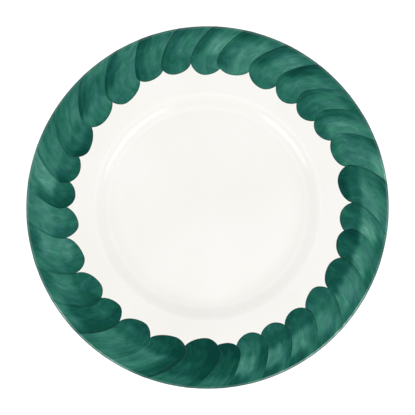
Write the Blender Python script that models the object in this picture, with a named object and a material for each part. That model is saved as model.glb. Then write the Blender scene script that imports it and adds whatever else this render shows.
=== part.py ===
"""A hand-painted dinner plate, at its real size.

The plate is one fired body: a flat well, a cove, a wide rim that slopes up to a rounded lip,
and a foot ring underneath. The rim is covered by thirty brush strokes of green colour, laid on
one after another clockwise, so that each one lies over the edge of the one before it. A stroke
starts at its round tip, towards the well, and leans clockwise on its way out to the lip.

Frame: +Z up, origin on the plate's axis in the plane that the foot ring stands on. Clock angles
are in degrees, clockwise from +Y as seen from above.
"""

import math

import bmesh
import bpy

MM = 0.001

# The fired body
PLATE_RADIUS = 135 * MM
WELL_RADIUS = 72.5 * MM
COVE_RADIUS = 86.5 * MM
WELL_FLOOR = 8.0 * MM
WELL_THICKNESS = 4.5 * MM
RIM_INNER_HEIGHT = 15.6 * MM
RIM_SLOPE = 0.18
RIM_THICKNESS = 4.3 * MM
LIP_RADIUS = 1.9 * MM
FOOT_OUTER_RADIUS = 72.6 * MM
FOOT_INNER_RADIUS = 66.8 * MM
FOOT_EDGE = 0.7 * MM
FOOT_FLARE = 1.1 * MM
UNDER_COVE_START = 75.7 * MM
UNDER_COVE_END = 89.5 * MM
UNDER_COVE_SLOPE = 0.12
COVE_STEPS = 6
LIP_STEPS = 6
TURN_STEPS = 96
AXIS_MERGE = 0.00001

# The painted strokes
STROKE_THICKNESS = 0.25 * MM
STROKE_GAP = 0.3 * MM
STROKE_OUTER_RADIUS = 133 * MM
SHOULDER_RADIUS = 110 * MM
LEAN_POWER = 1.4
TIP_STEPS = 5
BODY_STEPS = 5
ACROSS_STEPS = 2
WALL_ANGLE = math.radians(40)

# Each stroke, in the order of painting: the clock angle of its tip, the degrees from the tip to
# its left and to its right shoulder, how far its tip reaches in from the lip in millimetres,
# how many degrees its left edge leans clockwise from shoulder to lip, and its load of colour.
STROKES = (
    (359.0, 5.7, 7.4, 36.0, 8.7, "mid"),
    (370.3, 6.7, 7.5, 34.5, 8.4, "pale"),
    (384.0, 7.5, 6.2, 37.5, 10.0, "mid"),
    (395.0, 6.4, 6.8, 38.0, 9.4, "mid"),
    (405.5, 6.2, 6.8, 38.0, 11.5, "mid"),
    (415.5, 5.9, 6.9, 36.5, 9.4, "mid"),
    (427.0, 6.7, 6.8, 34.0, 8.2, "pale"),
    (439.8, 6.6, 8.4, 36.0, 8.8, "deep"),
    (454.0, 6.1, 7.1, 36.0, 11.0, "mid"),
    (464.0, 5.8, 7.1, 35.5, 8.8, "deep"),
    (476.3, 6.2, 7.7, 35.0, 8.0, "deep"),
    (488.5, 4.8, 8.3, 36.0, 8.3, "pale"),
    (501.0, 6.1, 6.6, 35.5, 8.1, "mid"),
    (512.0, 6.0, 6.7, 36.5, 8.0, "mid"),
    (522.0, 6.0, 6.8, 36.5, 7.0, "mid"),
    (532.5, 5.5, 7.3, 33.0, 7.0, "deep"),
    (540.8, 6.1, 9.4, 37.5, 10.5, "deep"),
    (554.5, 6.2, 10.0, 35.5, 11.5, "deep"),
    (569.0, 5.6, 9.0, 37.0, 9.6, "mid"),
    (582.5, 4.9, 8.2, 37.0, 8.4, "deep"),
    (594.5, 5.6, 9.0, 37.0, 10.0, "deep"),
    (608.5, 5.0, 9.6, 36.0, 7.5, "pale"),
    (622.8, 5.0, 8.0, 38.0, 8.2, "pale"),
    (635.0, 5.5, 6.4, 36.0, 7.5, "mid"),
    (646.0, 6.4, 7.1, 36.0, 9.4, "mid"),
    (656.0, 5.6, 9.6, 37.0, 11.5, "deep"),
    (670.5, 6.7, 8.2, 35.0, 12.0, "pale"),
    (683.0, 5.5, 9.3, 36.5, 10.5, "pale"),
    (696.5, 5.2, 6.0, 31.5, 6.7, "mid"),
    (707.0, 5.3, 6.6, 33.0, 8.8, "mid"),
)
FULL_TURN = 360.0

# Linear colours
GLAZE_WHITE = (0.90, 0.885, 0.85)
STROKE_COLOURS = {
    "pale": (0.055, 0.235, 0.165),
    "mid": (0.028, 0.175, 0.118),
    "deep": (0.008, 0.088, 0.062),
}
GLAZE_ROUGHNESS = 0.12


def clear_scene():
    for obj in list(bpy.data.objects):
        bpy.data.objects.remove(obj, do_unlink=True)


def glazed_material(name, colour):
    material = bpy.data.materials.new(name)
    material.use_nodes = True
    shader = material.node_tree.nodes["Principled BSDF"]
    shader.inputs["Base Color"].default_value = (*colour, 1.0)
    shader.inputs["Roughness"].default_value = GLAZE_ROUGHNESS
    shader.inputs["Metallic"].default_value = 0.0
    return material


def add_object(name, mesh, material, parent):
    obj = bpy.data.objects.new(name, mesh)
    mesh.materials.append(material)
    obj.parent = parent
    bpy.context.scene.collection.objects.link(obj)
    return obj


# --- The fired body ---


def rim_height(radius):
    """The height of the rim's upper face, which is a plain cone."""
    return RIM_INNER_HEIGHT + RIM_SLOPE * (radius - COVE_RADIUS)


def swept_curve(start, start_slope, end, end_slope, steps):
    """Points from start to end, both (radius, height), along a cubic with these end slopes."""
    run = end[0] - start[0]
    points = []
    for step in range(steps + 1):
        t = step / steps
        height = (
            start[1] * (2 * t**3 - 3 * t**2 + 1)
            + start_slope * run * (t**3 - 2 * t**2 + t)
            + end[1] * (3 * t**2 - 2 * t**3)
            + end_slope * run * (t**3 - t**2)
        )
        points.append((start[0] + run * t, height))
    return points


def lip_arc():
    """The rounded lip, from the rim's upper face round to its underside."""
    tilt = math.atan(RIM_SLOPE)
    centre_radius = PLATE_RADIUS - LIP_RADIUS
    touch_radius = centre_radius - LIP_RADIUS * math.sin(tilt)
    centre_height = rim_height(touch_radius) - LIP_RADIUS * math.cos(tilt)
    points = []
    for step in range(LIP_STEPS + 1):
        turn = math.pi / 2 + tilt - math.pi * step / LIP_STEPS
        points.append(
            (
                centre_radius + LIP_RADIUS * math.cos(turn),
                centre_height + LIP_RADIUS * math.sin(turn),
            )
        )
    return points


def foot_ring(underside):
    """The foot ring's section, from its outer wall round to its inner wall."""
    return [
        (FOOT_OUTER_RADIUS + FOOT_FLARE, underside - FOOT_EDGE),
        (FOOT_OUTER_RADIUS, FOOT_EDGE),
        (FOOT_OUTER_RADIUS - FOOT_EDGE, 0.0),
        (FOOT_INNER_RADIUS + FOOT_EDGE, 0.0),
        (FOOT_INNER_RADIUS, FOOT_EDGE),
        (FOOT_INNER_RADIUS - FOOT_FLARE, underside - FOOT_EDGE),
        (FOOT_INNER_RADIUS - FOOT_FLARE - FOOT_EDGE, underside),
    ]


def body_profile():
    """Half of the plate's section, from the axis over the top and the lip back to the axis."""
    underside = WELL_FLOOR - WELL_THICKNESS
    cove_foot = (WELL_RADIUS, WELL_FLOOR)
    cove_head = (COVE_RADIUS, RIM_INNER_HEIGHT)
    cove = swept_curve(cove_foot, 0.0, cove_head, RIM_SLOPE, COVE_STEPS)
    under_foot = (UNDER_COVE_START, underside)
    under_head = (UNDER_COVE_END, rim_height(UNDER_COVE_END) - RIM_THICKNESS)
    under_cove = swept_curve(under_foot, UNDER_COVE_SLOPE, under_head, RIM_SLOPE, COVE_STEPS)
    outer = [*cove, *lip_arc(), *reversed(under_cove), *foot_ring(underside)]
    return [(0.0, WELL_FLOOR), *outer, (0.0, underside)]


def make_plate_body(parent):
    mesh = bpy.data.meshes.new("plate_body")
    profile = [(radius, 0.0, height) for radius, height in body_profile()]
    links = [(index, index + 1) for index in range(len(profile) - 1)]
    mesh.from_pydata(profile, links, [])
    body = add_object("plate_body", mesh, glazed_material("white_glaze", GLAZE_WHITE), parent)
    turn = body.modifiers.new("turned", "SCREW")
    turn.axis = "Z"
    turn.steps = TURN_STEPS
    turn.render_steps = TURN_STEPS
    turn.use_smooth_shade = True
    turn.use_merge_vertices = True
    turn.merge_threshold = AXIS_MERGE


# --- The painted strokes ---


class Stroke:
    """One brush stroke's outline, as clock angles in degrees at any radius."""

    def __init__(self, tip, left, right, reach, lean, load):
        self.tip = tip
        self.left = left
        self.right = right
        self.tip_radius = PLATE_RADIUS - reach * MM
        self.lean = lean
        self.load = load

    def drift(self, radius):
        """How far the stroke has leaned clockwise by this radius."""
        if radius <= SHOULDER_RADIUS:
            return 0.0
        outward = (radius - SHOULDER_RADIUS) / (PLATE_RADIUS - SHOULDER_RADIUS)
        return self.lean * outward**LEAN_POWER

    def swell(self, radius):
        """The share of its full width that the stroke has here: the tip is half an ellipse."""
        if radius >= SHOULDER_RADIUS:
            return 1.0
        inward = (SHOULDER_RADIUS - radius) / (SHOULDER_RADIUS - self.tip_radius)
        return math.sqrt(max(0.0, 1.0 - inward**2))

    def left_edge(self, radius):
        return self.tip - self.left * self.swell(radius) + self.drift(radius)

    def right_edge(self, radius):
        return self.tip + self.right * self.swell(radius) + self.drift(radius)

    def radii(self):
        """The radii of the stroke's rows, closest together at its tip."""
        depth = SHOULDER_RADIUS - self.tip_radius
        for step in range(TIP_STEPS + 1):
            yield SHOULDER_RADIUS - depth * math.cos(math.pi / 2 * step / TIP_STEPS)
        for step in range(1, BODY_STEPS + 1):
            yield SHOULDER_RADIUS + (STROKE_OUTER_RADIUS - SHOULDER_RADIUS) * step / BODY_STEPS


def visible_span(stroke, over, radius):
    """The clock angles that bound the stroke here. From its shoulder outwards it always runs on
    under the stroke over it. Short of the shoulder it may end before it gets there."""
    left = stroke.left_edge(radius)
    covered_from = over.left_edge(radius) - math.degrees(STROKE_GAP / radius)
    if radius >= SHOULDER_RADIUS:
        return left, covered_from
    right = stroke.right_edge(radius)
    if radius > over.tip_radius:
        right = min(right, covered_from)
    return left, right


def rim_point(radius, clock, lift):
    """A point above the rim, for a clock angle counted from the object's own +Y."""
    turn = math.radians(clock)
    return (radius * math.sin(turn), radius * math.cos(turn), rim_height(radius) + lift)


def stroke_sheet(sheets, stroke, over, lift):
    """The vertices of one sheet, row by row from the tip, where the first row is one vertex."""
    rows = []
    for radius in stroke.radii():
        left, right = visible_span(stroke, over, radius)
        steps = ACROSS_STEPS if rows else 0
        shares = [step / steps for step in range(steps + 1)] if steps else [0.5]
        clocks = [left + (right - left) * share - stroke.tip for share in shares]
        rows.append([sheets.verts.new(rim_point(radius, clock, lift)) for clock in clocks])
    return rows


def fill_sheet(sheets, rows):
    """Faces between the rows: a fan from the tip's one vertex, then quads."""
    tip, first = rows[0][0], rows[1]
    for left, right in zip(first, first[1:]):
        sheets.faces.new([tip, left, right])
    for inner, outer in zip(rows[1:], rows[2:]):
        for step in range(ACROSS_STEPS):
            sheets.faces.new([inner[step], inner[step + 1], outer[step + 1], outer[step]])


def sheet_outline(rows):
    """The vertices round a sheet, in order: out along its left edge and back along its right."""
    tip, *others = rows
    left = [row[0] for row in others]
    right = [row[-1] for row in reversed(others)]
    between = others[-1][1:-1]
    return [tip[0], *left, *between, *right]


def fill_wall(sheets, lower, upper):
    for index in range(len(lower)):
        before = index - 1
        sheets.faces.new([lower[before], lower[index], upper[index], upper[before]])


def make_stroke(name, stroke, over, material, parent):
    """One stroke as a thin closed solid, a lower and an upper sheet with a wall between."""
    sheets = bmesh.new()
    lower = stroke_sheet(sheets, stroke, over, STROKE_GAP)
    upper = stroke_sheet(sheets, stroke, over, STROKE_GAP + STROKE_THICKNESS)
    fill_sheet(sheets, lower)
    fill_sheet(sheets, upper)
    fill_wall(sheets, sheet_outline(lower), sheet_outline(upper))
    bmesh.ops.recalc_face_normals(sheets, faces=sheets.faces)
    mesh = bpy.data.meshes.new(name)
    sheets.to_mesh(mesh)
    sheets.free()
    mesh.shade_smooth()
    mesh.set_sharp_from_angle(angle=WALL_ANGLE)
    obj = add_object(name, mesh, material, parent)
    obj.rotation_euler.z = -math.radians(stroke.tip)


def make_strokes(parent):
    """All the strokes. The one over the last stroke is the first, a full turn on."""
    materials = {}
    for load, colour in STROKE_COLOURS.items():
        materials[load] = glazed_material("green_" + load, colour)
    strokes = [Stroke(*row) for row in STROKES]
    first_again = Stroke(STROKES[0][0] + FULL_TURN, *STROKES[0][1:])
    for number, (stroke, over) in enumerate(zip(strokes, [*strokes[1:], first_again]), start=1):
        make_stroke(f"rim_stroke_{number:02d}", stroke, over, materials[stroke.load], parent)


def main():
    clear_scene()
    plate = bpy.data.objects.new("plate", None)
    bpy.context.scene.collection.objects.link(plate)
    make_plate_body(plate)
    make_strokes(plate)


main()
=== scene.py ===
"""The looks of a hand-painted dinner plate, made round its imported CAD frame.

The body is turned again at a fine pitch along the frame's own section, with a gloss glaze and
a bare foot ring. The brush strokes are laid on its rim one after another. Each is a thin raised
layer that lies over the edge of the stroke before it, in a green that darkens where the colour
is thick: at the tip, along the edges and where two strokes overlap.

Where nothing else is said, everything is in metres, in the frame's own coordinates, and clock
angles are in radians, clockwise from +Y as seen from above.
"""

import math

import bpy
import numpy as np
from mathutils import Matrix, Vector


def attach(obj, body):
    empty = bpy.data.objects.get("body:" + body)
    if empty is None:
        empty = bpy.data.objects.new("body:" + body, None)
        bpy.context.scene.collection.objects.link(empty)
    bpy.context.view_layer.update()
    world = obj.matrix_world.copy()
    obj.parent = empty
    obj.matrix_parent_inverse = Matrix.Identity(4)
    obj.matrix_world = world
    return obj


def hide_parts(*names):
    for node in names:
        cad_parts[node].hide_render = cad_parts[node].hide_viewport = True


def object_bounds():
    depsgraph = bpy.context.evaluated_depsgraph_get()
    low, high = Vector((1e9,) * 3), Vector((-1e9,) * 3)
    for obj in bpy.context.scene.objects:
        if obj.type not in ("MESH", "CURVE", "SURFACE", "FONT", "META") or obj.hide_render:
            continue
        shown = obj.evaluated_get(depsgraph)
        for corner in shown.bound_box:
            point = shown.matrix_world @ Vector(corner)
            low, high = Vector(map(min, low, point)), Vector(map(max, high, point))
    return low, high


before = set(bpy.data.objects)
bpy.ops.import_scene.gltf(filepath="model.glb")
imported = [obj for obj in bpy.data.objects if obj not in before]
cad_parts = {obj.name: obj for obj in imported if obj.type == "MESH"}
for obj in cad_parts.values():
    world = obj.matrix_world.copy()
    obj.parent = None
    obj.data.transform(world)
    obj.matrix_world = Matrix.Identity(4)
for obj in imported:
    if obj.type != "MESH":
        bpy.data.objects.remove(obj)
CAD_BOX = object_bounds()

MM = 0.001
# Points of the frame that are closer than this are at the same place
CLOSE = 0.02 * MM

# The turned body. It is smaller at the lip than the CAD body, to leave room for the colour.
# Chords of the section longer than the straight run stay straight, and the rest become curves.
BODY_NODE = "plate_body"
COLOUR_ROOM = 0.12 * MM
TURN_STEPS = 256
STRAIGHT_RUN = 4 * MM
STRAIGHT_PITCH = 2 * MM
CURVE_PITCH = 0.4 * MM
FEWEST_CURVE_STEPS = 5

# The strokes' outlines, as the CAD solids have them
SHOULDER_RADIUS = 110 * MM
LEAN_POWER = 1.4

# How far each stroke's right side stays under the stroke laid over it
UNDERLAP = math.radians(0.8)
UNDERLAP_EASE = 6 * MM

# The strokes' relief: how thick the colour is at an edge and away from it, how wide the edge's
# rounding is, how far the lower side lies in the glaze, and how softly a stroke steps up over
# the one below
STROKE_EDGE = 0.03 * MM
STROKE_BODY = 0.05 * MM
STROKE_PER_LOAD = 0.06 * MM
EDGE_ROUNDING = 0.6 * MM
SINK = 0.03 * MM
STEP_SOFTNESS = 0.5 * MM

# The strokes' meshes. A stroke's first row lies a small share of a row from its very tip,
# where all the row's points would fall together.
TIP_ROWS = 14
RIM_ROWS = 16
LIP_ROWS = 18
COLUMNS = 36
FIRST_ROW_SHARE = 0.02

# How far the colour is carried over the lip. It wanders in waves: height, count round the
# plate and shift.
LIP_REACH = 4.2 * MM
LIP_WANDER = 0.35 * MM
LIP_WAVES = ((1.0, 7, 0.5), (0.6, 17, 2.0), (0.4, 41, 0.0))

# Where a painted highlight, standing for the softboxes' glint, lies along the lip's crest, as a
# length past the lip, and how much darker the colour is made just past it. Each highlight
# stretch has its middle and its half length, as clock angles in degrees, and its strength.
CREST = 1.2 * MM
CREST_WIDTH = 0.24 * MM
BELOW_CREST = 0.22
CREST_HIGHLIGHTS = ((142, 24, 1.0), (222, 20, 0.55), (252, 20, 0.3), (88, 12, 0.3))

# How much colour the brush left, for each stroke in turn, in tenths of a full load: along its
# left side and along the right of what shows of it, each at the tip, shoulder, body and lip.
PAINT = (
    ((5, 6, 7, 8), (5, 5, 3, 5)),
    ((5, 7, 6, 8), (4, 4, 4, 6)),
    ((6, 6, 8, 8), (6, 5, 4, 6)),
    ((6, 6, 9, 8), (6, 5, 5, 6)),
    ((7, 7, 6, 6), (7, 6, 5, 7)),
    ((7, 7, 7, 6), (7, 4, 4, 5)),
    ((7, 5, 6, 7), (7, 5, 5, 3)),
    ((9, 8, 6, 7), (9, 7, 4, 5)),
    ((7, 8, 5, 5), (7, 7, 3, 7)),
    ((9, 9, 5, 5), (8, 8, 4, 7)),
    ((8, 8, 5, 5), (8, 8, 4, 6)),
    ((7, 7, 6, 5), (7, 6, 4, 7)),
    ((8, 8, 6, 5), (8, 7, 4, 8)),
    ((7, 8, 7, 5), (7, 8, 4, 8)),
    ((7, 7, 8, 5), (7, 6, 4, 8)),
    ((10, 10, 8, 6), (10, 9, 8, 6)),
    ((10, 10, 9, 7), (9, 9, 8, 6)),
    ((9, 10, 9, 8), (9, 8, 5, 5)),
    ((8, 7, 6, 5), (8, 7, 5, 6)),
    ((9, 9, 9, 7), (8, 7, 8, 5)),
    ((7, 8, 7, 5), (7, 7, 5, 7)),
    ((7, 7, 6, 5), (6, 4, 4, 7)),
    ((7, 7, 5, 5), (6, 5, 4, 5)),
    ((9, 9, 7, 5), (8, 7, 3, 4)),
    ((8, 8, 5, 5), (7, 6, 5, 6)),
    ((10, 7, 6, 6), (8, 6, 5, 6)),
    ((7, 5, 8, 6), (6, 5, 6, 5)),
    ((6, 6, 8, 7), (6, 5, 5, 5)),
    ((6, 8, 7, 8), (6, 6, 5, 6)),
    ((6, 7, 7, 8), (6, 6, 5, 6)),
)
# Where one of those four places gives way to the next: a middle radius, and half of the change
CHANGES = ((106.0 * MM, 3.0 * MM), (115.0 * MM, 2.5 * MM), (127.5 * MM, 3.0 * MM))
# Where across the stroke the left side gives way to the right, and how softly
LEFT_SHARE = 0.40
LEFT_SOFTNESS = 0.2
# The bristles make those changes uneven, in waves: height, count and shift from stroke to stroke
UNEVEN = 0.7 * MM
BRISTLES = 8.0
BRISTLE_WAVES = ((1.0, 1.0, 2.1), (0.6, 2.6, 1.0))
# How much of the colour of the stroke below shows through
OVERLAP_SHARE = 0.12
# How far apart the strokes lie in the noise of their colour, so that no two are alike
NOISE_STEP = 50 * MM

# The white glaze: its own colours, the bare clay's, and the heights between which it ends
GLAZE_COLOURS = ((246, 244, 239), (249, 248, 244))
CLAY_COLOURS = ((205, 194, 176), (232, 224, 209))
GLAZE_END = (0.45 * MM, 0.65 * MM)
GLAZE_END_WOBBLE = 0.12 * MM
GLAZE_ROUGHNESS = (0.07, 0.13)
GLAZE_SPECULAR = 0.3
CLAY_ROUGHNESS = 0.78
GLAZE_RELIEF = 0.012 * MM
CLAY_RELIEF_SHARE = 3.0

# The green from a thin coat of colour to a thick one. Its palest end is mostly reached in the
# painted highlight along the lip's crest.
GREENS = (
    (0.02, (204, 226, 217)),
    (0.14, (122, 178, 162)),
    (0.27, (84, 147, 131)),
    (0.40, (65, 129, 114)),
    (0.55, (46, 111, 97)),
    (0.70, (30, 94, 82)),
    (0.84, (18, 79, 68)),
    (1.00, (6, 63, 55)),
)
# What the green is multiplied by where it is purest and where it is greyest
TINTS = ((0.86, 1.02, 0.91, 1.0), (1.14, 0.98, 1.08, 1.0))
GREEN_ROUGHNESS = (0.08, 0.15)
GREEN_RELIEF = 0.015 * MM
HAIR_RELIEF_SHARE = 0.4

# The noise in the green. Each kind has its scale for a millimetre across the brush's way, along
# it and from stroke to stroke, its detail, its distortion, and how much it adds to the load.
GREEN_NOISE = {
    "wide streaks": ((0.30, 0.04, 1.0), 2.0, 0.4, 0.055),
    "hair streaks": ((1.3, 0.06, 1.0), 3.0, 0.0, 0.022),
    "clouds": ((0.19, 0.14, 1.0), 3.0, 0.6, 0.12),
    "grain": ((0.8, 0.8, 0.8), 3.0, 0.0, 0.03),
}
TINT_NOISE = (0.12, 0.09, 1.0)

# What the depth inside an outline adds to the load. Depths are in millimetres, as the meshes'
# attributes give them. A stroke has a ridge of colour along its own edge, lower where it lies
# over the stroke before it, whose edge makes a dark line in it.
OVER_BELOW = (-0.4, 1.2)
EDGE = (0.2, 1.0)
EDGE_LOADS = (0.17, 0.09)
LINE_MIDDLE = 0.3
LINE_HALF = 0.9
LINE_LOAD = 0.06

# The backdrop: a floor that bends up into walls. A ring of points inside the bend keeps the
# floor's shading flat.
FLOOR_RADIUS = 2.0
FLOOR_FLAT_SHARE = 0.9
BACKDROP_BEND = 0.8
BACKDROP_HEIGHT = 3.0
BEND_STEPS = 16
FLOOR_WHITES = ((0.80, 0.80, 0.80, 1.0), (0.82, 0.82, 0.82, 1.0))
FLOOR_ROUGHNESS = 0.9
FLOOR_GLOW = 0.5

# The camera: its lens and sensor in millimetres, and the plate's share of the picture's width
FOCAL_LENGTH = 150.0
SENSOR_WIDTH = 36.0
PLATE_SHARE = 0.8738

# The softboxes: the clock angle of each in degrees, its width in metres and its power in watts
SOFTBOXES = ((133, 0.98, 1.08), (229, 0.62, 0.64))
SOFTBOX_HEIGHT = 0.06
SOFTBOX_DISTANCE = 0.95
SOFTBOX_ELEVATION = 20.0

# The room's brightness by the sine of the elevation, in shares of its strength: dim below the
# floor, and bright high up round a dark ceiling, which the camera looks out of.
SKY = (
    (-1.0, 0.24),
    (-0.06, 0.36),
    (0.0, 0.40),
    (0.25, 0.40),
    (0.45, 0.50),
    (0.64, 0.74),
    (0.84, 0.90),
    (0.88, 0.90),
    (0.93, 0.01),
)
SKY_STRENGTH = 1.72


# --- Reading the frame ---


def node_points(name):
    """A CAD node's vertices, as rows of x, y and z."""
    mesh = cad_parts[name].data
    points = np.empty(len(mesh.vertices) * 3)
    mesh.vertices.foreach_get("co", points)
    return points.reshape(-1, 3)


def body_section():
    """The CAD body's half section as (radius, height) corners, from the axis over the top and
    the lip to the axis below. Its links are the mesh edges that lie in the half plane."""
    points = node_points(BODY_NODE)
    in_plane = (abs(points[:, 1]) < CLOSE) & (points[:, 0] > CLOSE)
    corner = [tuple(np.round(point[[0, 2]], 6)) for point in points]
    links = {}
    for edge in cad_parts[BODY_NODE].data.edges:
        a, b = edge.vertices
        if in_plane[a] and in_plane[b] and corner[a] != corner[b]:
            links.setdefault(corner[a], set()).add(corner[b])
            links.setdefault(corner[b], set()).add(corner[a])
    ends = [place for place, others in links.items() if len(others) == 1]
    place = max(ends, key=lambda end: end[1])
    chain = [(0.0, place[1]), place]
    while True:
        onward = [other for other in links[chain[-1]] if other not in chain]
        if not onward:
            break
        chain.append(onward[0])
    chain.append((0.0, chain[-1][1]))
    return np.array(chain)


def smooth_section(corners):
    """The section with its short chords rounded into one curve. Long runs stay straight.
    Returns the points, and for each corner its index among them."""
    runs = np.diff(corners, axis=0)
    lengths = np.linalg.norm(runs, axis=1)
    ways = runs / lengths[:, None]
    straight = lengths > STRAIGHT_RUN
    tangents = [ways[0]]
    for before, after in zip(range(len(runs)), range(1, len(runs))):
        if straight[before]:
            tangent = ways[before]
        elif straight[after]:
            tangent = ways[after]
        else:
            tangent = ways[before] + ways[after]
        tangents.append(tangent / np.linalg.norm(tangent))
    tangents.append(ways[-1])
    points = [corners[0]]
    places = [0]
    for index, length in enumerate(lengths):
        if straight[index]:
            steps = math.ceil(length / STRAIGHT_PITCH)
        else:
            steps = max(FEWEST_CURVE_STEPS, math.ceil(length / CURVE_PITCH))
        for step in range(1, steps + 1):
            t = step / steps
            # A cubic curve that leaves and meets the corners along their tangents
            points.append(
                corners[index] * (2 * t**3 - 3 * t**2 + 1)
                + tangents[index] * length * (t**3 - 2 * t**2 + t)
                + corners[index + 1] * (3 * t**2 - 2 * t**3)
                + tangents[index + 1] * length * (t**3 - t**2)
            )
        places.append(len(points) - 1)
    return np.array(points), places


class PaintedPath:
    """The rim's upper face and the lip, along which the strokes run. A place on it is its
    radius as far as the lip, and past that it grows with the length round the lip."""

    def __init__(self, corners, section, places):
        # The rim's upper face is the longest run outward in the section's outer half
        runs = np.diff(corners, axis=0)
        outward = np.where(corners[:-1, 0] > corners[:, 0].max() / 2, runs[:, 0], 0.0)
        rim = int(outward.argmax())
        self.lip = corners[rim + 1, 0]
        # The path goes on past the colour, down the outside of the plate to its foot
        points = section[places[rim] :]
        points = points[: int(points[:, 1].argmin())]
        steps = np.linalg.norm(np.diff(points, axis=0), axis=1)
        self.place = np.concatenate([[0.0], np.cumsum(steps)])
        turn = places[rim + 1] - places[rim]
        self.place += self.lip - self.place[turn]
        self.place[: turn + 1] = points[: turn + 1, 0]
        ways = np.gradient(points, axis=0)
        ways /= np.linalg.norm(ways, axis=1)[:, None]
        self.points = points
        self.normals = np.stack([-ways[:, 1], ways[:, 0]], axis=1)

    def at(self, place, clock, lift):
        """Points at these places and clock angles, this far above the surface."""
        radius, height = (np.interp(place, self.place, self.points[:, k]) for k in (0, 1))
        out, up = (np.interp(place, self.place, self.normals[:, k]) for k in (0, 1))
        radius = radius + out * lift
        height = height + up * lift
        return np.stack([radius * np.sin(clock), radius * np.cos(clock), height], axis=-1)


class Stroke:
    """One brush stroke's outline, measured from its CAD solid, and its colour."""

    def __init__(self, number, node, paint):
        self.number = number
        self.node = node
        self.paint = np.array(paint) / 10
        # The next stroke, which lies over this one's right side
        self.over = None
        points = node_points(node)
        radius = np.hypot(points[:, 0], points[:, 1])
        clock = np.arctan2(points[:, 0], points[:, 1])
        self.tip = clock[radius.argmin()]
        self.tip_radius = radius.min()
        self.depth_of_tip = SHOULDER_RADIUS - self.tip_radius
        turn = half_turn(clock - self.tip)
        self.left = -turn[abs(radius - SHOULDER_RADIUS) < CLOSE].min()
        self.outer_radius = radius.max()
        self.lean = turn[radius > self.outer_radius - CLOSE].min() + self.left
        # The next stroke cuts most of the right side from the solid, but not near the tip
        first_row = radius[radius > self.tip_radius + CLOSE].min()
        in_row = abs(radius - first_row) < CLOSE
        self.right = turn[in_row].max() / self.swell(first_row)

    def right_at(self, place):
        """The angle from the middle line to the right edge, at full swell."""
        over_edge = self.over.tip + self.over.drift(place) - self.over.left
        needed = half_turn(over_edge - self.tip - self.drift(place)) + UNDERLAP
        share = smooth((place - SHOULDER_RADIUS) / UNDERLAP_EASE)
        return self.right + np.maximum(needed - self.right, 0.0) * share

    def drift(self, place):
        """How far the stroke has leaned clockwise by this place."""
        outward = (place - SHOULDER_RADIUS) / (self.outer_radius - SHOULDER_RADIUS)
        return self.lean * np.maximum(outward, 0.0) ** LEAN_POWER

    def slant(self, place):
        """The tangent of the lean: how far sideways the stroke goes for each metre outward."""
        return place * (self.drift(place + MM) - self.drift(place)) / MM

    def swell(self, place):
        """The share of its full width that the stroke has here: the tip is half an ellipse."""
        inward = np.maximum(SHOULDER_RADIUS - place, 0.0) / self.depth_of_tip
        return np.sqrt(np.maximum(1.0 - inward**2, 0.0))

    def depth(self, place, clock):
        """How far inside the outline this is. Outside, it is negative."""
        turn = half_turn(clock - self.tip - self.drift(place))
        side = np.where(turn < 0, self.left, self.right_at(place)) * place
        across = abs(turn) * place / side
        inward = np.maximum(SHOULDER_RADIUS - place, 0.0) / self.depth_of_tip
        share = np.maximum(np.hypot(across, inward), 1e-6)
        steepness = np.hypot(across / side, inward / self.depth_of_tip) / share
        return (1.0 - share) / steepness / np.hypot(1.0, self.slant(place))

    def load(self, place, clock):
        """How much colour the brush left here, from nothing to about one."""
        left_edge = self.tip - self.left + self.drift(place)
        over_edge = self.over.tip - self.over.left + self.over.drift(place)
        across = half_turn(clock - left_edge) / half_turn(over_edge - left_edge)
        place = place + UNEVEN * sum(
            height * np.sin(count * BRISTLES * across + shift * self.number)
            for height, count, shift in BRISTLE_WAVES
        )
        to_right = smooth((across - LEFT_SHARE) / LEFT_SOFTNESS / 2 + 0.5)
        sides = []
        for side in self.paint:
            load = np.full_like(place, side[0])
            for (middle, half), before, after in zip(CHANGES, side, side[1:]):
                load += (after - before) * smooth((place - middle) / half / 2 + 0.5)
            sides.append(load)
        return sides[0] + (sides[1] - sides[0]) * to_right

    def coat(self, place, clock):
        """The thickness of the colour, rounded down to a thin edge."""
        rounding = np.clip(self.depth(place, clock) / EDGE_ROUNDING, 0.0, 1.0)
        swollen = np.sqrt(rounding * (2.0 - rounding))
        full = STROKE_BODY + STROKE_PER_LOAD * self.load(place, clock)
        return STROKE_EDGE + (full - STROKE_EDGE) * swollen


def half_turn(angle):
    """The same angle between minus and plus half a turn."""
    return (angle + math.pi) % (2 * math.pi) - math.pi


def smooth(share):
    """The share kept between nothing and one, and eased at both ends."""
    share = np.clip(share, 0.0, 1.0)
    return share * share * (3.0 - 2.0 * share)


# --- Meshes ---


def link_object(name, mesh, material):
    """A new object in the scene, with its material."""
    obj = bpy.data.objects.new(name, mesh)
    mesh.materials.append(material)
    bpy.context.scene.collection.objects.link(obj)
    return obj


def turned_mesh(name, section):
    """The section turned about the axis. Its two ends are single points on the axis."""
    turns = np.linspace(0.0, 2 * math.pi, TURN_STEPS, endpoint=False)
    ring = section[1:-1]
    radius, height = ring[:, 0], ring[:, 1]
    x = np.outer(np.cos(turns), radius)
    y = np.outer(np.sin(turns), radius)
    z = np.broadcast_to(height, x.shape)
    points = np.stack([x, y, z], axis=-1).reshape(-1, 3).tolist()
    top = len(points)
    points += [(0.0, 0.0, section[0, 1]), (0.0, 0.0, section[-1, 1])]
    count = len(ring)
    faces = []
    for turn in range(TURN_STEPS):
        here = turn * count
        there = (turn + 1) % TURN_STEPS * count
        faces.append((top, here, there))
        faces += [(here + k, here + k + 1, there + k + 1, there + k) for k in range(count - 1)]
        faces.append((top + 1, there + count - 1, here + count - 1))
    mesh = bpy.data.meshes.new(name)
    mesh.from_pydata(points, [], faces)
    mesh.shade_smooth()
    return mesh


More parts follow.
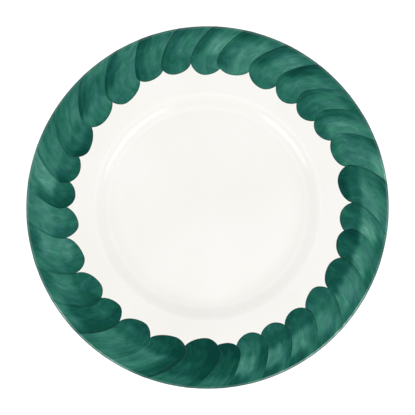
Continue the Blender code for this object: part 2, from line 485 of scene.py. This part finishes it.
def layer_faces(rows, columns):
    """The faces of a thin closed layer: an upper and a lower sheet of rows by columns points,
    upper first, and the wall round them."""
    size = rows * columns
    faces = []
    for row in range(rows - 1):
        for column in range(columns - 1):
            a = row * columns + column
            quad = (a, a + 1, a + columns + 1, a + columns)
            faces.append(quad[::-1])
            faces.append(tuple(corner + size for corner in quad))
    edge = [*range(columns), *range(2 * columns - 1, size, columns)]
    edge += [*range(size - 2, size - columns - 1, -1), *range(size - 2 * columns, 0, -columns)]
    for index, here in enumerate(edge):
        before = edge[index - 1]
        faces.append((before, here, here + size, before + size))
    return faces


def add_attribute(mesh, name, values):
    """A value, or a row of three, for each vertex."""
    kind, field = ("FLOAT", "value") if values.ndim == 1 else ("FLOAT_VECTOR", "vector")
    attribute = mesh.attributes.new(name, kind, "POINT")
    attribute.data.foreach_set(field, values.astype(np.float32).ravel())


# --- Materials ---


class Nodes:
    """A short way to write a material's nodes."""

    def __init__(self, name):
        self.material = bpy.data.materials.new(name)
        self.material.use_nodes = True
        self.tree = self.material.node_tree
        self.shader = self.tree.nodes["Principled BSDF"]

    def add(self, kind, **settings):
        node = self.tree.nodes.new(kind)
        for key, value in settings.items():
            setattr(node, key, value)
        return node

    def put(self, value, socket):
        if isinstance(value, bpy.types.NodeSocket):
            self.tree.links.new(value, socket)
        else:
            socket.default_value = value

    def attribute(self, name, output="Fac"):
        return self.add("ShaderNodeAttribute", attribute_name=name).outputs[output]

    def place(self):
        return self.add("ShaderNodeTexCoord").outputs["Object"]

    def math(self, operation, *values, clamp=False):
        node = self.add("ShaderNodeMath", operation=operation, use_clamp=clamp)
        for value, socket in zip(values, node.inputs):
            self.put(value, socket)
        return node.outputs[0]

    def stretched(self, vector, scale):
        node = self.add("ShaderNodeVectorMath", operation="MULTIPLY")
        self.put(vector, node.inputs[0])
        node.inputs[1].default_value = scale
        return node.outputs[0]

    def noise(self, vector, scale, detail=2.0, roughness=0.5, distortion=0.0):
        """Noise mostly between minus and plus one: the texture's own is mostly 0.25 to 0.75."""
        node = self.add("ShaderNodeTexNoise")
        self.put(vector, node.inputs["Vector"])
        node.inputs["Scale"].default_value = scale
        node.inputs["Detail"].default_value = detail
        node.inputs["Roughness"].default_value = roughness
        node.inputs["Distortion"].default_value = distortion
        return self.math("MULTIPLY_ADD", node.outputs["Fac"], 4.0, -2.0)

    def span(self, value, low, high, to_low=0.0, to_high=1.0, smooth_ends=True):
        """Value taken from low..high to to_low..to_high."""
        kind = "SMOOTHSTEP" if smooth_ends else "LINEAR"
        node = self.add("ShaderNodeMapRange", interpolation_type=kind, clamp=True)
        for item, socket in zip((value, low, high, to_low, to_high), node.inputs):
            self.put(item, socket)
        return node.outputs["Result"]

    def mix(self, share, first, second, blend="MIX"):
        """A mix of two colours. Those sockets of the node have no names of their own."""
        node = self.add("ShaderNodeMix", data_type="RGBA", blend_type=blend)
        self.put(share, node.inputs["Factor"])
        self.put(first, node.inputs[6])
        self.put(second, node.inputs[7])
        return node.outputs[2]

    def ramp(self, value, stops):
        """A colour ramp through (position, sRGB colour) stops."""
        node = self.add("ShaderNodeValToRGB")
        self.put(value, node.inputs["Fac"])
        elements = node.color_ramp.elements
        elements.remove(elements[1])
        elements[0].position = stops[0][0]
        elements[0].color = linear(stops[0][1])
        for position, colour in stops[1:]:
            elements.new(position).color = linear(colour)
        return node.outputs["Color"]

    def bump(self, height, distance, strength=1.0):
        node = self.add("ShaderNodeBump")
        self.put(height, node.inputs["Height"])
        node.inputs["Distance"].default_value = distance
        node.inputs["Strength"].default_value = strength
        self.put(node.outputs["Normal"], self.shader.inputs["Normal"])

    def set(self, **inputs):
        for key, value in inputs.items():
            self.put(value, self.shader.inputs[key.replace("_", " ")])


def linear(colour):
    """An sRGB colour in 0 to 255 as linear red, green, blue and alpha."""
    shares = [part / 255 for part in colour]
    return (*[s / 12.92 if s <= 0.04045 else ((s + 0.055) / 1.055) ** 2.4 for s in shares], 1.0)


def white_glaze():
    """A warm white gloss glaze over pale clay, wiped off the foot ring's standing face. The
    noises' scales are for a metre."""
    nodes = Nodes("white_glaze")
    place = nodes.place()
    height = nodes.add("ShaderNodeSeparateXYZ")
    nodes.put(place, height.inputs[0])
    wobble = nodes.noise(place, 160.0, detail=3.0)
    bare_line = nodes.math("MULTIPLY_ADD", wobble, GLAZE_END_WOBBLE, height.outputs["Z"])
    bare = nodes.span(bare_line, *GLAZE_END, 1.0, 0.0)
    cloud = nodes.span(nodes.noise(place, 14.0, detail=3.0), -1.0, 1.0)
    glaze = nodes.mix(cloud, *map(linear, GLAZE_COLOURS))
    grain = nodes.span(nodes.noise(place, 1400.0, detail=4.0, roughness=0.7), -1.0, 1.0)
    clay = nodes.mix(grain, *map(linear, CLAY_COLOURS))
    nodes.set(Base_Color=nodes.mix(bare, glaze, clay))
    gloss = nodes.span(nodes.noise(place, 30.0), -1.0, 1.0, *GLAZE_ROUGHNESS)
    dull = nodes.math("MULTIPLY", bare, CLAY_ROUGHNESS)
    nodes.set(Roughness=nodes.math("MAXIMUM", gloss, dull))
    nodes.set(Specular_IOR_Level=GLAZE_SPECULAR)
    ripple = nodes.noise(place, 55.0, detail=1.0)
    pores = nodes.math("MULTIPLY", nodes.noise(place, 900.0, detail=3.0), bare)
    nodes.bump(nodes.math("MULTIPLY_ADD", pores, CLAY_RELIEF_SHARE, ripple), GLAZE_RELIEF)
    return nodes.material


def brushed_green():
    """Green colour under a clear gloss glaze, streaked along the brush's way and darker where
    it is thick. The brush attribute gives a place in the stroke, in millimetres."""
    nodes = Nodes("brushed_green")
    brush = nodes.attribute("brush", "Vector")
    own = nodes.attribute("own_depth")
    under = nodes.attribute("under_depth")
    total = nodes.attribute("load")
    noises = {}
    for kind, (scale, detail, distortion, share) in GREEN_NOISE.items():
        place = nodes.stretched(brush, scale)
        noises[kind] = nodes.noise(place, 1.0, detail, distortion=distortion)
        total = nodes.math("MULTIPLY_ADD", noises[kind], share, total)
    covered = nodes.span(under, *OVER_BELOW)
    shows_through = nodes.math("MULTIPLY", covered, nodes.attribute("below_load"))
    total = nodes.math("ADD", total, shows_through)
    ridge = nodes.span(under, *OVER_BELOW, *EDGE_LOADS)
    total = nodes.math("ADD", total, nodes.span(own, *EDGE, ridge, 0.0))
    off_line = nodes.math("ABSOLUTE", nodes.math("ADD", under, -LINE_MIDDLE))
    total = nodes.math("ADD", total, nodes.span(off_line, 0.0, LINE_HALF, LINE_LOAD, 0.0))
    greyness = nodes.span(nodes.noise(nodes.stretched(brush, TINT_NOISE), 1.0), -1.0, 1.0)
    tint = nodes.mix(greyness, *TINTS)
    nodes.set(Base_Color=nodes.mix(1.0, nodes.ramp(total, GREENS), tint, "MULTIPLY"))
    nodes.set(Roughness=nodes.span(noises["clouds"], -1.0, 1.0, *GREEN_ROUGHNESS))
    hair, wide = noises["hair streaks"], noises["wide streaks"]
    nodes.bump(nodes.math("MULTIPLY_ADD", hair, HAIR_RELIEF_SHARE, wide), GREEN_RELIEF)
    return nodes.material


def pale_floor():
    """A matt white that glows a little, so that it stays pale at every height."""
    nodes = Nodes("pale_floor")
    cloud = nodes.span(nodes.noise(nodes.place(), 3.0), -1.0, 1.0)
    nodes.set(Base_Color=nodes.mix(cloud, *FLOOR_WHITES), Roughness=FLOOR_ROUGHNESS)
    nodes.set(Emission_Color=(1.0, 1.0, 1.0, 1.0), Emission_Strength=FLOOR_GLOW)
    return nodes.material


# --- The plate ---


def make_body(section):
    """The whole fired body, which stands for the CAD body."""
    body = link_object("glazed_body", turned_mesh("glazed_body", section), white_glaze())
    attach(body, "root")
    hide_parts(BODY_NODE)


def lip_end(path, clock):
    """The place past the lip where the brush left off. It wanders a little."""
    wander = sum(height * np.sin(count * clock + shift) for height, count, shift in LIP_WAVES)
    return path.lip + LIP_REACH + LIP_WANDER * wander


def painted_crest_highlight(path, place, clock):
    """A painted highlight: the colour thinned along the lip's crest where the softboxes glint on
    it, and made a little thicker just past it.
    """
    past = (place - path.lip - CREST) / CREST_WIDTH
    amount = np.zeros_like(place)
    for middle, half_length, strength in CREST_HIGHLIGHTS:
        # Each stretch fades away between a half and one and a half of its half length
        off = np.degrees(abs(half_turn(clock - math.radians(middle)))) / half_length
        amount = np.maximum(amount, strength * smooth(1.5 - off))
    return amount * (BELOW_CREST * smooth(past / 2.0) - np.exp(-(past**2)))


def stroke_grid(stroke, path):
    """The places and clock angles of the stroke's points, in rows from its tip."""
    turns = np.linspace(0.0, math.pi / 2, TIP_ROWS + 1)
    tip_rows = SHOULDER_RADIUS - stroke.depth_of_tip * np.cos(turns)
    tip_rows[0] = tip_rows[0] + (tip_rows[1] - tip_rows[0]) * FIRST_ROW_SHARE
    rim_rows = np.linspace(SHOULDER_RADIUS, path.lip, RIM_ROWS + 1)[1:]
    lip_rows = np.linspace(0.0, 1.0, LIP_ROWS + 1)[1:]
    columns = (1.0 - np.cos(np.linspace(0.0, math.pi, COLUMNS))) / 2
    rows = np.concatenate([tip_rows, rim_rows, path.lip + LIP_REACH * lip_rows])
    place = np.repeat(rows[:, None], COLUMNS, axis=1)
    width = stroke.left + stroke.right_at(place)
    end_clock = stroke.tip + stroke.drift(place[-1]) - stroke.left + width[-1] * columns
    reach = lip_end(path, end_clock) - path.lip
    place[-LIP_ROWS:] = path.lip + lip_rows[:, None] * reach[None, :]
    edge = stroke.tip + stroke.drift(place) - stroke.left * stroke.swell(place)
    return place, edge + width * stroke.swell(place) * columns


def make_stroke(stroke, under, path, material):
    """The whole stroke, with its left part over the right part of the stroke before it."""
    place, clock = stroke_grid(stroke, path)
    under_depth = under.depth(place, clock)
    step = smooth(under_depth / STEP_SOFTNESS + 1.0)
    base = under.coat(place, clock) * step
    upper = path.at(place, clock, base + stroke.coat(place, clock))
    lower = path.at(place, clock, base - SINK)
    points = np.concatenate([upper.reshape(-1, 3), lower.reshape(-1, 3)])
    mesh = bpy.data.meshes.new(stroke.node)
    mesh.from_pydata(points.tolist(), [], layer_faces(*place.shape))
    mesh.shade_smooth()
    # The painted highlight along the lip's crest thins the colour there.
    load = np.maximum(stroke.load(place, clock) + painted_crest_highlight(path, place, clock), 0.0)
    across = half_turn(clock - stroke.tip - stroke.drift(place)) * place
    along = place - stroke.tip_radius
    apart = np.full_like(place, NOISE_STEP * stroke.number)
    brush = np.stack([across, along, apart], axis=-1).reshape(-1, 3)
    attributes = {
        "own_depth": stroke.depth(place, clock) / MM,
        "under_depth": under_depth / MM,
        "load": load,
        "below_load": under.load(place, clock) * OVERLAP_SHARE,
    }
    for name, values in attributes.items():
        add_attribute(mesh, name, np.tile(values.ravel(), 2))
    add_attribute(mesh, "brush", np.tile(brush / MM, (2, 1)))
    piece = link_object("painted_" + stroke.node, mesh, material)
    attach(piece, "root")
    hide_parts(stroke.node)


def make_plate():
    """Makes every piece and returns the height at which the plate is widest."""
    corners = body_section()
    corners[:, 0] *= 1.0 - COLOUR_ROOM / corners[:, 0].max()
    section, places = smooth_section(corners)
    make_body(section)
    path = PaintedPath(corners, section, places)
    nodes = sorted(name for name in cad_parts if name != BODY_NODE)
    strokes = [Stroke(number, *pair) for number, pair in enumerate(zip(nodes, PAINT), start=1)]
    material = brushed_green()
    for stroke, over in zip(strokes, strokes[1:] + strokes[:1]):
        stroke.over = over
    for index, stroke in enumerate(strokes):
        make_stroke(stroke, strokes[index - 1], path, material)
    return section[section[:, 0].argmax(), 1]


# --- The studio ---


def make_backdrop():
    """A white floor swept up all round into walls, so that no view shows a horizon. It takes
    the plate's shadow, but it doesn't light the plate or show in its gloss."""
    low = CAD_BOX[0][2]
    section = [(0.0, BACKDROP_HEIGHT), (FLOOR_RADIUS + BACKDROP_BEND, BACKDROP_HEIGHT)]
    for turn in np.linspace(math.pi / 2, 0.0, BEND_STEPS + 1):
        rise = BACKDROP_BEND * (1.0 - math.cos(turn))
        section.append((FLOOR_RADIUS + BACKDROP_BEND * math.sin(turn), low + rise))
    section += [(FLOOR_FLAT_SHARE * FLOOR_RADIUS, low), (0.0, low)]
    backdrop = link_object("backdrop", turned_mesh("backdrop", np.array(section)), pale_floor())
    backdrop.visible_diffuse = False
    backdrop.visible_glossy = False
    backdrop.visible_shadow = False


def aim(obj, place, target):
    """Puts the object at the place, and turns it to look at the target."""
    obj.location = place
    obj.rotation_euler = (Vector(target) - Vector(place)).to_track_quat("-Z", "Y").to_euler()


def make_softboxes():
    """Two low softboxes, whose light glances off the cove on the side away from them."""
    for number, (clock, width, power) in enumerate(SOFTBOXES, start=1):
        light = bpy.data.lights.new(f"softbox_{number}", "AREA")
        light.shape = "RECTANGLE"
        light.size = width
        light.size_y = SOFTBOX_HEIGHT
        light.energy = power
        lamp = bpy.data.objects.new(light.name, light)
        bpy.context.scene.collection.objects.link(lamp)
        turn = math.radians(clock)
        rise = math.radians(SOFTBOX_ELEVATION)
        level = math.cos(rise)
        way = Vector((math.sin(turn) * level, math.cos(turn) * level, math.sin(rise)))
        aim(lamp, way * SOFTBOX_DISTANCE, (0.0, 0.0, 0.0))


def make_world():
    """A bright room with a dark ceiling over the plate, which keeps the greens deep."""
    world = bpy.data.worlds.new("studio")
    bpy.context.scene.world = world
    world.use_nodes = True
    tree = world.node_tree
    background = tree.nodes["Background"]
    coordinates = tree.nodes.new("ShaderNodeTexCoord")
    split = tree.nodes.new("ShaderNodeSeparateXYZ")
    # The sine of the elevation is between minus and plus one, and the ramp begins at nothing
    height = tree.nodes.new("ShaderNodeMath")
    height.operation = "MULTIPLY_ADD"
    height.inputs[1].default_value = 0.5
    height.inputs[2].default_value = 0.5
    ramp = tree.nodes.new("ShaderNodeValToRGB")
    tree.links.new(coordinates.outputs["Generated"], split.inputs[0])
    tree.links.new(split.outputs["Z"], height.inputs[0])
    tree.links.new(height.outputs[0], ramp.inputs["Fac"])
    tree.links.new(ramp.outputs["Color"], background.inputs["Color"])
    elements = ramp.color_ramp.elements
    elements.remove(elements[1])
    for rise, share in SKY:
        position = (rise + 1.0) / 2
        if position > 0.0:
            elements.new(position)
        elements[-1].color = (share, share, share, 1.0)
    background.inputs["Strength"].default_value = SKY_STRENGTH


def make_camera(widest_height):
    """Straight above the plate, far enough for the plate to fill its share of the picture."""
    low, high = CAD_BOX
    camera = bpy.data.cameras.new("camera")
    camera.lens = FOCAL_LENGTH
    camera.sensor_width = SENSOR_WIDTH
    view = bpy.data.objects.new("camera", camera)
    bpy.context.scene.collection.objects.link(view)
    across = (high[0] - low[0]) / PLATE_SHARE
    distance = across * FOCAL_LENGTH / SENSOR_WIDTH
    view.location = (0.0, 0.0, widest_height + distance)
    bpy.context.scene.camera = view


# --- The scene ---

widest = make_plate()
make_backdrop()
make_softboxes()
make_world()
make_camera(widest)
bpy.context.scene.view_settings.view_transform = "Standard"
